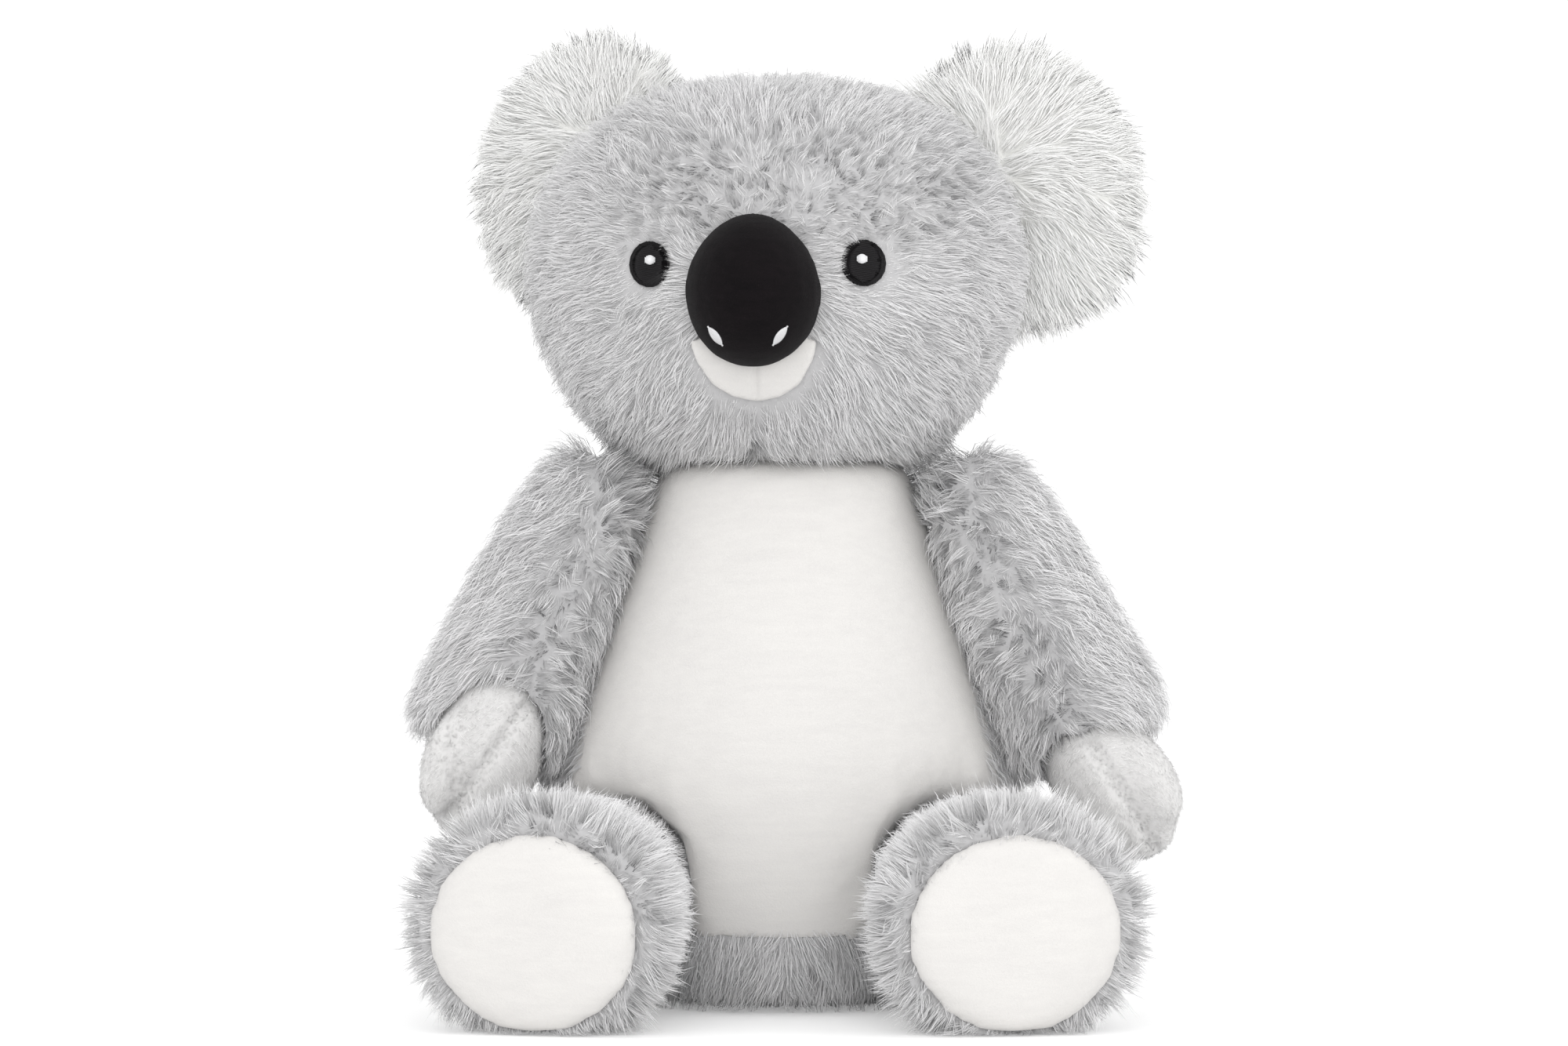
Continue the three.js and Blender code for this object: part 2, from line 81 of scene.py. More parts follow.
def node_of(tree, kind, **values):
    """A shader node. Names in small letters are its settings, the others its sockets. A socket is
    linked where its value is another node's socket."""
    made = tree.nodes.new(kind)
    for key, value in values.items():
        if key.islower():
            setattr(made, key, value)
            continue
        socket = made.inputs[key.replace("_", " ")]
        if isinstance(value, bpy.types.NodeSocket):
            tree.links.new(value, socket)
        else:
            socket.default_value = value
    return made


def fresh_material(name):
    """A material, and its tree to fill."""
    made = bpy.data.materials.new(name)
    made.use_nodes = True
    made.node_tree.nodes.clear()
    return made, made.node_tree


def place_in(tree):
    """A socket with each point's place on its own piece."""
    return tree.nodes.new("ShaderNodeTexCoord").outputs["Object"]


def noise_in(tree, place, **values):
    """A socket with a random pattern."""
    return node_of(tree, "ShaderNodeTexNoise", Vector=place, **values).outputs["Fac"]


def spread_in(tree, value, **values):
    """A socket with a value brought to another range."""
    return node_of(tree, "ShaderNodeMapRange", Value=value, **values).outputs["Result"]


def combined(tree, operation, first, second):
    """A socket with two others added, or with the larger of them."""
    made = node_of(tree, "ShaderNodeMath", operation=operation)
    tree.links.new(first, made.inputs[0])
    tree.links.new(second, made.inputs[1])
    return made.outputs[0]


def paper_material():
    """Paper that glows a little for what the camera sees, also in a mirror or through glass."""
    made, tree = fresh_material("paper")
    grain = noise_in(tree, place_in(tree), Scale=60.0, Detail=4.0)
    tint = spread_in(tree, grain, To_Min=paper_dark, To_Max=paper_light)
    body = node_of(tree, "ShaderNodeBsdfDiffuse", Color=tint)
    glow = node_of(tree, "ShaderNodeEmission", Strength=paper_glow)
    both = tree.nodes.new("ShaderNodeAddShader")
    tree.links.new(body.outputs[0], both.inputs[0])
    tree.links.new(glow.outputs[0], both.inputs[1])
    path = tree.nodes.new("ShaderNodeLightPath").outputs
    seen = combined(tree, "MAXIMUM", path["Is Camera Ray"], path["Is Glossy Ray"])
    seen = combined(tree, "MAXIMUM", seen, path["Is Transmission Ray"])
    choice = node_of(tree, "ShaderNodeMixShader", Fac=seen)
    tree.links.new(body.outputs[0], choice.inputs[1])
    tree.links.new(both.outputs[0], choice.inputs[2])
    node_of(tree, "ShaderNodeOutputMaterial", Surface=choice.outputs[0])
    return made


sweep = bmesh.new()
start = sweep.verts.new((-paper_width / 2, paper_front, 0))
bend = sweep.verts.new((-paper_width / 2, paper_turn, 0))
sweep.edges.new((start, bend))
bmesh.ops.spin(
    sweep, geom=[bend], cent=(-paper_width / 2, paper_turn, paper_radius), axis=(1, 0, 0),
    angle=math.pi / 2, steps=24, use_merge=False, use_duplicate=False,
)
top = max(sweep.verts, key=lambda vert: vert.co.z + vert.co.y)
raised = bmesh.ops.extrude_vert_indiv(sweep, verts=[top])["verts"]
raised[0].co.z = paper_height
across = bmesh.ops.extrude_edge_only(sweep, edges=sweep.edges[:])
for vert in across["geom"]:
    if isinstance(vert, bmesh.types.BMVert):
        vert.co.x += paper_width
bmesh.ops.recalc_face_normals(sweep, faces=sweep.faces)
paper = smooth_object("paper", sweep, paper_material())

# Light: a pale room all round, a large soft lamp above the camera, a low one that fills the
# shadows under the chin and at the feet, and a weaker one at the side.
room_level = 1.0
key_power = 8.5
low_power = 11.0
side_power = 3.0

world = bpy.data.worlds.new("room")
scene.world = world
world.use_nodes = True
room = world.node_tree
room.nodes.clear()
room_light = node_of(room, "ShaderNodeBackground", Color=(1, 1, 1, 1), Strength=room_level)
node_of(room, "ShaderNodeOutputWorld", Surface=room_light.outputs[0])


def soft_lamp(name, place, target, size, power):
    """A square lamp that looks at a point."""
    data = bpy.data.lights.new(name, "AREA")
    data.shape = "SQUARE"
    data.size = size
    data.energy = power
    lamp = placed(name, data)
    lamp.location = place
    lamp.rotation_euler = (Vector(target) - Vector(place)).to_track_quat("-Z", "Y").to_euler()


soft_lamp("lamp_front", (-0.35, -2.1, 1.0), (0, 0, 0.14), 1.4, key_power)
soft_lamp("lamp_low", (0.2, -1.9, 0.12), (0, 0, 0.05), 1.0, low_power)
soft_lamp("lamp_side", (1.6, -0.9, 0.7), (0, 0, 0.14), 0.9, side_power)

# Camera: level, at the height of the toy's middle, 1.6 m in front of it.
camera_height = 146.5 * mm
camera_distance = 1.6
sensor_width = 36
picture_width = 2000 * 0.239 * mm  # what the photograph takes in at the toy's middle

camera_data = bpy.data.cameras.new("camera")
camera_data.sensor_width = sensor_width
camera_data.lens = sensor_width * camera_distance / picture_width
camera_data.clip_start = 0.05
camera_data.clip_end = 30
camera = placed("camera", camera_data)
camera.location = (0, -camera_distance, camera_height)
camera.rotation_euler = (math.pi / 2, 0, 0)
scene.camera = camera
scene.view_settings.view_transform = "Standard"

# Body sides: two grey covers of long-pile plush, knitted backing with the pile cut and brushed,
# sewn to each other up the back and to the belly panel in front, and stuffed.
sides = {"left": 1, "right": -1}  # with each side's sign along X
coat_share = 1.0  # how much of the pile is grown while trying things
backing = 0.8 * mm  # how thick the knitted backing is, and how deep it lies under the form
floor_gap = 0.3 * mm
trim_overlap = 3 * mm  # how far a cover runs on under a trim that is set into it
trim_dip = 1.6 * mm
trim_fade = 5 * mm
cloth_steps = 20
stuffing_pressure = 4.0
weld = 0.01 * mm
tuft_pull = 0.5  # how far hairs are drawn towards the middle of their tuft
plain_ruffle = 0.12  # how ruffled the grey pile is where nothing ruffles it more
pile_tilt = 76  # degrees off upright at which combed pile lies
ruffled_lift, stand_lift = 34, 42  # degrees by which ruffled and standing pile are more upright
combed_turn, ruffled_turn = 13, 55  # degrees that tufts turn off the way they are combed
body_voxel = 4.2 * mm
body_give = 3.0 * mm
body_pile_length = 10.5 * mm
shoulder_height = 143, 149  # mm, where the shoulders' own pile begins and where it is in full
shoulder_depth = 12, 0
grey_root = (0.78, 0.775, 0.78, 1)
grey_tip = (0.91, 0.905, 0.91, 1)
# The shadow colour is painted shade: ruffled tufts' roots and the bare backing are drawn towards
# it, and their hairs dimmed, for the shade that falls in the gaps between tufts.
grey_shadow = (0.20, 0.20, 0.21, 1)


def take_shape(form):
    """Replaces an object's mesh by what its modifiers make of it."""
    finished = form.evaluated_get(bpy.context.evaluated_depsgraph_get())
    shape = bpy.data.meshes.new_from_object(finished)
    form.modifiers.clear()
    form.data = shape


def largest_shell(form, smoothing):
    """Keeps the outer shell of a remeshed form, and evens it."""
    shells = bmesh.new()
    shells.from_mesh(form.data)
    left, largest = set(shells.verts), set()
    while left:
        shell, border = set(), {left.pop()}
        while border:
            shell |= border
            border = {end for vert in border for edge in vert.link_edges for end in edge.verts}
            border &= left
            left -= border
        largest = max(largest, shell, key=len)
    extra = [vert for vert in shells.verts if vert not in largest]
    bmesh.ops.delete(shells, geom=extra, context="VERTS")
    for _ in range(smoothing):
        bmesh.ops.smooth_vert(
            shells, verts=shells.verts, factor=0.5,
            use_axis_x=True, use_axis_y=True, use_axis_z=True,
        )
    bmesh.ops.recalc_face_normals(shells, faces=shells.faces)
    shells.to_mesh(form.data)
    shells.free()


def points_of(mesh, kind="co"):
    """The places of a mesh's points, or their normals."""
    values = np.empty(len(mesh.vertices) * 3, np.float32)
    mesh.vertices.foreach_get(kind, values)
    return values.reshape(-1, 3)


def stuffed_form(nodes, voxel, give, smoothing=4):
    """One skin round the CAD solids of a stuffed part, blown up by cloth pressure. No point of it
    moves further than the give."""
    solids = bmesh.new()
    for node in nodes:
        solids.from_mesh(frame["nodes"][node].data)
    bmesh.ops.remove_doubles(solids, verts=solids.verts, dist=weld)
    mesh = bpy.data.meshes.new("form")
    solids.to_mesh(mesh)
    solids.free()
    form = placed("form", mesh)
    wrap = form.modifiers.new("wrap", "REMESH")
    wrap.mode = "VOXEL"
    wrap.voxel_size = voxel
    take_shape(form)
    largest_shell(form, smoothing)
    if give > 0:
        before = points_of(form.data)
        cloth = form.modifiers.new("swell", "CLOTH")
        cloth.settings.quality = 5
        cloth.settings.use_pressure = True
        cloth.settings.uniform_pressure_force = stuffing_pressure
        cloth.settings.effector_weights.gravity = 0
        cloth.point_cache.frame_start = 1
        cloth.point_cache.frame_end = cloth_steps
        for step in range(1, cloth_steps + 1):
            scene.frame_set(step)
        take_shape(form)
        scene.frame_set(1)
        move = points_of(form.data) - before
        far = np.linalg.norm(move, axis=1, keepdims=True)
        held = before + move * np.minimum(1, give / np.maximum(far, 1e-9))
        form.data.vertices.foreach_set("co", held.ravel())
        form.data.update()
    return form


def search_tree(piece):
    """A search tree over a piece's own mesh, or over a CAD solid."""
    shape = bmesh.new()
    shape.from_mesh(piece.data)
    tree = bvhtree.BVHTree.FromBMesh(shape)
    shape.free()
    return tree


def clearance(points, nodes):
    """How far each point lies from the nearest of some CAD solids."""
    near = np.full(len(points), 1.0)
    for tree in [search_tree(frame["nodes"][node]) for node in nodes]:
        near = np.minimum(near, [tree.find_nearest(point)[3] for point in points])
    return near


def panel_of(form, nodes, others, inset, overlap=0.0, under=(), dip=trim_dip):
    """The part of a form that lies nearest to a panel's own solids, set in by the backing's depth:
    its places, triangles and outward normals. It runs on a little under the trims that are set
    into it, and dips under them."""
    mesh = form.data
    mesh.calc_loop_triangles()
    corners = np.empty(len(mesh.loop_triangles) * 3, np.int32)
    mesh.loop_triangles.foreach_get("vertices", corners)
    corners = corners.reshape(-1, 3)
    places, normals = points_of(mesh), points_of(mesh, "normal")
    middles = places[corners].mean(axis=1)
    far = clearance(middles, nodes)
    own = far - overlap < (clearance(middles, others) if others else 1.0)
    if under:
        own &= far - trim_overlap < clearance(middles, under)
    used, renumbered = np.unique(corners[own], return_inverse=True)
    kept, facing = places[used], normals[used]
    depth = np.full(len(kept), inset)
    if under:
        depth += dip * np.clip(1 - clearance(kept, under) / trim_fade, 0, 1)
    return kept - facing * depth[:, None], renumbered.reshape(-1, 3), facing


def face_areas(panel):
    places, corners, _ = panel
    a, b, c = (places[corners[:, k]] for k in range(3))
    return np.linalg.norm(np.cross(b - a, c - a), axis=1) / 2


def sampled(panel, count, rng):
    """Points spread evenly over a panel, with their normals."""
    places, corners, normals = panel
    area = face_areas(panel)
    reach = (np.arange(count) + rng.random(count)) / count * area.sum()
    face = np.minimum(np.searchsorted(np.cumsum(area), reach), len(area) - 1)
    root = np.sqrt(rng.random(count))
    turn = rng.random(count)
    shares = np.stack([1 - root, root * (1 - turn), root * turn], axis=1)[:, :, None]
    point = (places[corners[face]] * shares).sum(axis=1)
    normal = (normals[corners[face]] * shares).sum(axis=1)
    return point, unit(normal)


def unit(vectors):
    return vectors / np.maximum(np.linalg.norm(vectors, axis=1, keepdims=True), 1e-9)


def swirling(points, size, seed):
    """A smooth random value from -1 to 1 at each point, with swirls of a size."""
    shift = Vector((seed * 7.3, seed * 3.1, seed * 5.7))
    return np.array([noise.noise(Vector(point) / size + shift) for point in points]) * 1.6


def spikes(root, mid, tip, width, shade, normal, rng):
    """Thin hairs, bent at their middles, or straight where there is no middle. Each is three-sided
    with one side outwards, comes to a point, and is open only at its root, inside the backing.
    Gives places, triangles, one shade and height for each place, and normals near the cover's own,
    because such fine hair shades as one soft surface."""
    along = unit(tip - root)
    side = unit(np.cross(along, normal + 0.4 * rng.normal(size=root.shape)))
    under = np.cross(along, side) * 0.6
    rings = [(root, 0.5, 0.02)] + ([(mid, 0.42, 0.5)] if mid is not None else [])
    places, marks, facing = [], [], []
    for place, share, height in rings:
        for k, out in enumerate((side, under, -side)):
            places.append(place + out * (width * share)[:, None])
            marks.append(np.stack([shade + 0.012 * (k - 1), np.full(len(root), height)], axis=1))
            facing.append(unit(normal + 0.3 * out * (k != 1)))
    facing.append(unit(normal + 0.15 * along))
    places.append(tip)
    marks.append(np.stack([shade, np.full(len(root), 0.98)], axis=1))
    faces = []
    for ring in range(len(rings) - 1):
        for k in range(3):
            low, next_low = 3 * ring + k, 3 * ring + (k + 1) % 3
            faces += [(low, next_low, next_low + 3), (low, next_low + 3, low + 3)]
    last = 3 * (len(rings) - 1)
    faces += [(last + k, last + (k + 1) % 3, last + 3) for k in range(3)]
    size = len(places)
    places = np.stack(places, axis=1).reshape(-1, 3)
    marks = np.stack(marks, axis=1).reshape(-1, 2)
    facing = np.stack(facing, axis=1).reshape(-1, 3)
    steps = np.arange(len(root))[:, None, None] * size
    return places, (np.array(faces)[None] + steps).reshape(-1, 3), marks, facing


def grown_pile(panel, comb, length, seed, ruffle, clump=17.0, bent=0.55, straight=1.6, width=0.25,
               near=(), stand=None, lean=(0, 0, 0)):
    """The pile of one panel, with a number of bent and of straight hairs to the mm2. Where the
    ruffle is 0 it lies flat and light, the way it is combed. Towards 1 it stands up in tufts that
    point all ways, and is darkened with painted shade: some tufts' hairs are dimmed and their
    roots drawn towards the shadow colour, for the shade in the gaps between tufts. Next to
    neighbours it grows with the distance, as near says: solids, start in mm, and growth. Stand
    says where combed pile stands up as well, and lean which way the hairs' flat sides are turned."""
    rng = np.random.default_rng(seed)
    area = face_areas(panel).sum() / mm**2
    centre, centre_normal = sampled(panel, max(int(2.5 * area / clump), 4), rng)
    kept = rng.random(len(centre)) < 0.4 + 0.6 * np.clip(ruffle(centre), 0, 1)
    centre, centre_normal = centre[kept], centre_normal[kept]
    tufts = len(centre)
    way = comb(centre, centre_normal)
    way = unit(way - (way * centre_normal).sum(axis=1, keepdims=True) * centre_normal)
    patchy = 0.13 * swirling(centre, 13 * mm, seed + 9)
    rough = np.clip(ruffle(centre) + patchy + 0.06 * rng.normal(size=tufts), 0, 1)
    swirl = swirling(centre, 14 * mm, seed) + 0.5 * rng.normal(size=tufts)
    turn = np.radians(combed_turn + ruffled_turn * rough) * swirl
    way = way * np.cos(turn)[:, None] + np.cross(centre_normal, way) * np.sin(turn)[:, None]
    tilt = np.radians(pile_tilt - ruffled_lift * rough + rng.normal(0, 6, tufts))
    if stand:
        tilt -= np.radians(stand_lift) * stand(centre)
    long = (length(centre) if callable(length) else length) * rng.uniform(0.8, 1.15, tufts)
    long = long * (1 - 0.25 * rough)
    # Painted shade: how far each tuft is dimmed and its roots drawn towards the shadow colour,
    # mostly where the pile is ruffled.
    dark = rough * rng.random(tufts) ** 1.6 + 0.05 * rng.random(tufts)
    search = kdtree.KDTree(tufts)
    for index, point in enumerate(centre):
        search.insert(point, index)
    search.balance()
    parts = []
    for density, is_bent in ((bent, True), (straight, False)):
        root, normal = sampled(panel, int(area * density * coat_share), rng)
        own = np.array([search.find(point)[1] for point in root])
        hair = long[own] * rng.uniform(0.72, 1.06, len(root)) * (1 if is_bent else 0.85)
        for solids, begin, growth in near:
            hair = np.minimum(hair, (clearance(root, solids) - begin * mm) * growth)
        kept = (hair > 0.8 * mm) & (rng.random(len(root)) > 0.3 * rough[own])
        root, normal, own, hair = root[kept], normal[kept], own[kept], hair[kept]
        count = len(root)
        combed = unit(way[own] + 0.14 * rng.normal(size=(count, 3)))
        lying = tilt[own] + np.radians(rng.normal(0, 5, count))
        low, high = (lying * share for share in ((0.7, 1.25) if is_bent else (1, 1)))

        def reach(angle):
            return np.cos(angle)[:, None] * normal + np.sin(angle)[:, None] * combed

        mid = root + reach(low) * (hair * 0.52)[:, None]
        tip = mid + reach(high) * (hair * 0.48)[:, None]
        tuft_up = np.cos(tilt)[:, None] * centre_normal + np.sin(tilt)[:, None] * way
        tuft_tip = centre[own] + tuft_up[own] * hair[:, None]
        drawn = (tuft_pull * (0.22 + 1.25 * rough[own]) * rng.uniform(0.6, 1.2, count))[:, None]
        tip = tip + (tuft_tip - tip) * drawn
        mid = mid + ((root + tip) / 2 - mid) * drawn * 0.35
        shade = np.clip(1 - dark[own] - 0.07 * np.abs(rng.normal(size=count)), 0.03, 0.97)
        thick = width * mm * rng.uniform(0.75, 1.25, count)
        thick = thick * (1 if coat_share == 1 else 2)
        middle = mid if is_bent else None
        flat = unit(normal + lean)
        parts.append(spikes(root - normal * backing / 2, middle, tip, thick, shade, flat, rng))
    return parts


def closed_sheet(panel, thickness):
    """A panel's places, triangles and normals, with a second side below it and a strip round its
    edge. A panel that is already closed stays as it is."""
    places, corners, normals = panel
    edges = np.concatenate([corners[:, [0, 1]], corners[:, [1, 2]], corners[:, [2, 0]]])
    forward = set(map(tuple, edges.tolist()))
    rim = np.array([(a, b) for a, b in forward if (b, a) not in forward]).reshape(-1, 2)
    if not len(rim):
        return places, corners, normals
    low = len(places)
    strip = np.concatenate([
        np.stack([rim[:, 1], rim[:, 0], rim[:, 0] + low], axis=1),
        np.stack([rim[:, 1], rim[:, 0] + low, rim[:, 1] + low], axis=1),
    ])
    both = np.concatenate([places, places - normals * thickness])
    facing = np.concatenate([normals, -normals])
    return both, np.concatenate([corners, corners[:, ::-1] + low, strip]), facing


def piece_of(name, panel, parts, material):
    """One sewn cover: its backing, as a thin closed sheet, and its pile."""
    sheet_places, sheet_faces, sheet_facing = closed_sheet(panel, backing)
    all_places, all_faces, shift = [sheet_places], [sheet_faces], len(sheet_places)
    # The backing's marks give it a colour two thirds of the way from the shadow colour to the
    # root's, and dim it: painted shade where it shows between the tufts.
    backing_shade_marks = np.array([(0.63, 0.05), (0.69, 0.05), (0.66, 0.1)])
    all_marks, all_facing = [np.tile(backing_shade_marks, (len(sheet_faces), 1))], [sheet_facing]
    for part_places, part_faces, part_marks, part_facing in parts:
        all_facing.append(part_facing)
        all_places.append(part_places)
        all_faces.append(part_faces + shift)
        all_marks.append(part_marks[part_faces.ravel()])
        shift += len(part_places)
    all_places = np.concatenate(all_places)
    all_places[:, 2] = np.maximum(all_places[:, 2], floor_gap)
    all_faces = np.concatenate(all_faces)
    mesh = bpy.data.meshes.new(name)
    mesh.vertices.add(len(all_places))
    mesh.vertices.foreach_set("co", all_places.astype(np.float32).ravel())
    mesh.loops.add(len(all_faces) * 3)
    mesh.loops.foreach_set("vertex_index", all_faces.astype(np.int32).ravel())
    mesh.polygons.add(len(all_faces))
    mesh.polygons.foreach_set("loop_start", np.arange(len(all_faces), dtype=np.int32) * 3)
    mesh.polygons.foreach_set("use_smooth", np.ones(len(all_faces), bool))
    marks = mesh.uv_layers.new(name="OFBake")
    marks.data.foreach_set("uv", np.concatenate(all_marks).astype(np.float32).ravel())
    mesh.update(calc_edges=True)
    shading = mesh.attributes.new("custom_normal", "FLOAT_VECTOR", "POINT")
    shading.data.foreach_set("vector", np.concatenate(all_facing).astype(np.float32).ravel())
    mesh.materials.append(material)
    made = placed(name, mesh)
    return made


def colour_mix(tree, share, low, high):
    """A socket with two colours mixed."""
    made = node_of(tree, "ShaderNodeMix", data_type="RGBA", Factor=share, A=low, B=high)
    return made.outputs["Result"]


def surfaced(made, **values):
    """Gives a material its one surface shader."""
    cloth = node_of(made.node_tree, "ShaderNodeBsdfPrincipled", **values)
    node_of(made.node_tree, "ShaderNodeOutputMaterial", Surface=cloth.outputs[0])
    return made


def pile_material(name, root, tip, shadow, sheen, darkest):
    """Pile: a hair runs from its root's colour to its tip's. In ruffled tufts its root is drawn
    towards the shadow colour and the whole hair is dimmed, both painted shade for the gaps between
    tufts. Both are read from the piece's own map: first how light a hair is, which carries the
    painted shade, then its height."""
    made, tree = fresh_material(name)
    marks = node_of(tree, "ShaderNodeUVMap", uv_map="OFBake").outputs["UV"]
    split = node_of(tree, "ShaderNodeSeparateXYZ", Vector=marks).outputs
    foot = colour_mix(tree, split["X"], shadow, root)
    hair = colour_mix(tree, spread_in(tree, split["Y"], From_Max=0.85), foot, tip)
    shade = spread_in(tree, split["X"], To_Min=darkest, To_Max=1.01)
    tinted = node_of(tree, "ShaderNodeVectorMath", operation="SCALE", Vector=hair, Scale=shade)
    return surfaced(made, Base_Color=tinted.outputs[0], Roughness=1.0, Sheen_Weight=sheen,
                    Sheen_Roughness=0.6, Specular_IOR_Level=0.0)


grey_pile = pile_material("grey_pile", grey_root, grey_tip, grey_shadow, sheen=0.3, darkest=0.42)
torso_solids = ["body_side_left", "body_side_right", "belly_panel", "seat_panel", "body_filling"]
torso_form = stuffed_form(torso_solids, body_voxel, body_give)
limb_solids = ["sleeve_left", "sleeve_right", "leg_cover_left", "leg_cover_right"]
body_near = [
    (limb_solids, -2.5, 2.5), (["head_face_left", "head_face_right", "head_back"], -2.0, 3.0),
    (["belly_panel"], -2.0, 3.0),
]


def ramp(values, start, full):
    """0 up to the start and 1 from full on, both in mm. Start may be the larger one."""
    return np.clip((values / mm - start) / (full - start), 0, 1)


def on_shoulder(points):
    """1 on top of the shoulders and in front, 0 elsewhere."""
    return ramp(points[:, 2], *shoulder_height) * ramp(points[:, 1], *shoulder_depth)


def body_comb(points, normals):
    """Down the body and a little towards the back, and up and outwards on the shoulders."""
    side, top = np.sign(points[:, :1]), on_shoulder(points)[:, None]
    down, up = side * (0.25, 0, 0) + (0, 0.25, -1), side * (0.1, 0, 0) + (0, -0.5, 0.9)
    return down * (1 - top) + up * top


def body_ruffle(points):
    return np.full(len(points), plain_ruffle)


def body_length(points):
    return body_pile_length * (1 + 1.3 * on_shoulder(points))


for number, side in enumerate(sides):
    own = "body_side_" + side
    cover = panel_of(torso_form, [own], [n for n in torso_solids[:4] if n != own], backing)
    hairs = grown_pile(cover, body_comb, body_length, 11 + number, body_ruffle, bent=0.5,
                       straight=1.5, near=body_near, stand=on_shoulder, lean=(0, -0.4, 0))
    plush = piece_of("body_plush_" + side, cover, hairs, grey_pile)
    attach(plush, "torso")
    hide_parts(own)

# Seat: a flat oval gusset of the same plush, sewn in under the body, its pile pressed by the
# toy's weight.
seat_pile_length = 3.0 * mm
seat_inset = 1.2 * mm

seat_cover = panel_of(torso_form, ["seat_panel"], torso_solids[:2], seat_inset)
seat_hairs = grown_pile(seat_cover, body_comb, seat_pile_length, 13, body_ruffle, bent=0.2,
                        straight=0.7)
seat = piece_of("seat_plush", seat_cover, seat_hairs, grey_pile)
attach(seat, "torso")
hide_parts("seat_panel")

# Belly: one panel of smooth off-white velour, sewn in between the body sides and under the chin.
# It has no pile of its own, and the stuffing keeps it round.
velour_white = (0.73, 0.715, 0.695, 1)
velour_shade = (0.68, 0.665, 0.65, 1)
velour_thickness = 1.0 * mm
belly_overlap = 2.5 * mm  # how far the belly runs on under the edges of its neighbours


def velour_material(name, light, dark, grain, bump, sheen=0.3):
    """Velour: a dense short pile, with clouds and level streaks where it lies another way, and a
    fine grain."""
    made, tree = fresh_material(name)
    place = place_in(tree)
    clouds = noise_in(tree, place, Scale=38.0, Detail=3.0, Roughness=0.6)
    fibres = noise_in(tree, place, Scale=grain, Detail=3.0, Roughness=0.7)
    level = node_of(tree, "ShaderNodeMapping", Vector=place, Scale=(0.1, 1.0, 1.0)).outputs[0]
    streaks = noise_in(tree, level, Scale=420.0, Detail=2.0)
    blend = combined(tree, "ADD", combined(tree, "ADD", clouds, fibres), streaks)
    colour = colour_mix(tree, spread_in(tree, blend, From_Min=1.1, From_Max=1.9), dark, light)
    relief = node_of(tree, "ShaderNodeBump", Strength=bump, Distance=0.4 * mm, Height=fibres)
    return surfaced(made, Base_Color=colour, Normal=relief.outputs[0], Roughness=0.9,
                    Sheen_Weight=sheen, Sheen_Roughness=0.45, Specular_IOR_Level=0.1)


def smooth_piece(name, panel, material):
    """A sewn cover with no pile: a closed sheet, rounded by subdivision."""
    places, corners, _ = closed_sheet(panel, velour_thickness)
    sheet = bmesh.new()
    verts = [sheet.verts.new(place) for place in places]
    for face in corners:
        sheet.faces.new([verts[k] for k in face])
    bmesh.ops.join_triangles(
        sheet, faces=sheet.faces, angle_face_threshold=0.7, angle_shape_threshold=0.7
    )
    made = smooth_object(name, sheet, material)
    rounded = made.modifiers.new("rounded", "SUBSURF")
    rounded.levels = rounded.render_levels = 1
    take_shape(made)
    return made


white_velour = velour_material("white_velour", velour_white, velour_shade, grain=1700.0, bump=0.35)
belly_cover = panel_of(torso_form, ["belly_panel"], torso_solids[:2] + ["seat_panel"], 0.0,
                       belly_overlap)
belly = smooth_piece("belly", belly_cover, white_velour)
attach(belly, "torso")
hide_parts("belly_panel")
bpy.data.objects.remove(torso_form)

# Head: two face covers, sewn together along the middle of the face, and one back cover, of the
# same plush. The pile is combed away from the nose.
head_voxel = 4.2 * mm
head_give = 2.5 * mm
head_pile_length = 9.5 * mm
chin_depth = 30  # mm under the nose's middle
forehead_low, forehead_high = (222, 236), (268, 250)  # mm, each from where it starts to full
forehead_side, forehead_front = (58, 36), (0, -20)
hanging_low, hanging_side, hanging_front = (176, 168), (26, 34), (25, 15)
head_solids = ["head_face_left", "head_face_right", "head_back", "head_filling"]
face_trims = ["eye_left", "eye_right", "mouth"]

head_form = stuffed_form(head_solids + face_trims, head_voxel, head_give)
head_near = [
    (["nose"], -3.0, 3.0), (["mouth"], 0.2, 3.0), (["eye_left", "eye_right"], -0.6, 1.2),
    (["ear_back_left", "ear_back_right", "ear_front_left", "ear_front_right"], -3.0, 1.6),
    (["sleeve_left", "sleeve_right", "belly_panel"], -2.5, 2.5),
]


def middle_of(node):
    """The middle of a CAD solid's box."""
    return np.array(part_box(node)).mean(axis=0)


nose_seat = middle_of("nose")
nose_seat[1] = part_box("nose")[1][1]


def head_comb(points, normals):
    """Away from the nose, and down where nothing else is stronger. Under the mouth it parts."""
    away = unit(points - nose_seat)
    aside = points[:, :1] - nose_seat[0]
    chin = ramp(nose_seat[2] - points[:, 2:], 0, chin_depth)
    parting = chin * np.sign(aside) * np.exp(-np.abs(aside) / (9 * mm))
    return away + (0, 0, -0.35) + parting * (0.8, 0, 0)


def forehead(points):
    """1 on the forehead, 0 elsewhere."""
    x, y, z = points.T
    high = ramp(z, *forehead_low) * ramp(z, *forehead_high)
    return high * ramp(np.abs(x - 4 * mm), *forehead_side) * ramp(y, *forehead_front)


# Ruffled on the forehead and along the chin's parting, which also darkens the pile there with
# painted shade.
def head_ruffle(points):
    parting = np.exp(-(((points[:, 0] - nose_seat[0]) / (2.5 * mm)) ** 2))
    parting = parting * (points[:, 2] < nose_seat[2] - chin_depth * mm)
    return plain_ruffle + 0.95 * forehead(points) + 0.7 * parting


def head_stand(points):
    """1 under the head's lower edge at both sides, where the pile hangs down to the shoulders."""
    x, y, z = points.T
    return ramp(z, *hanging_low) * ramp(np.abs(x), *hanging_side) * ramp(y, *hanging_front)


def head_length(points):
    return head_pile_length * (1 - 0.25 * forehead(points) + 0.2 * head_stand(points))


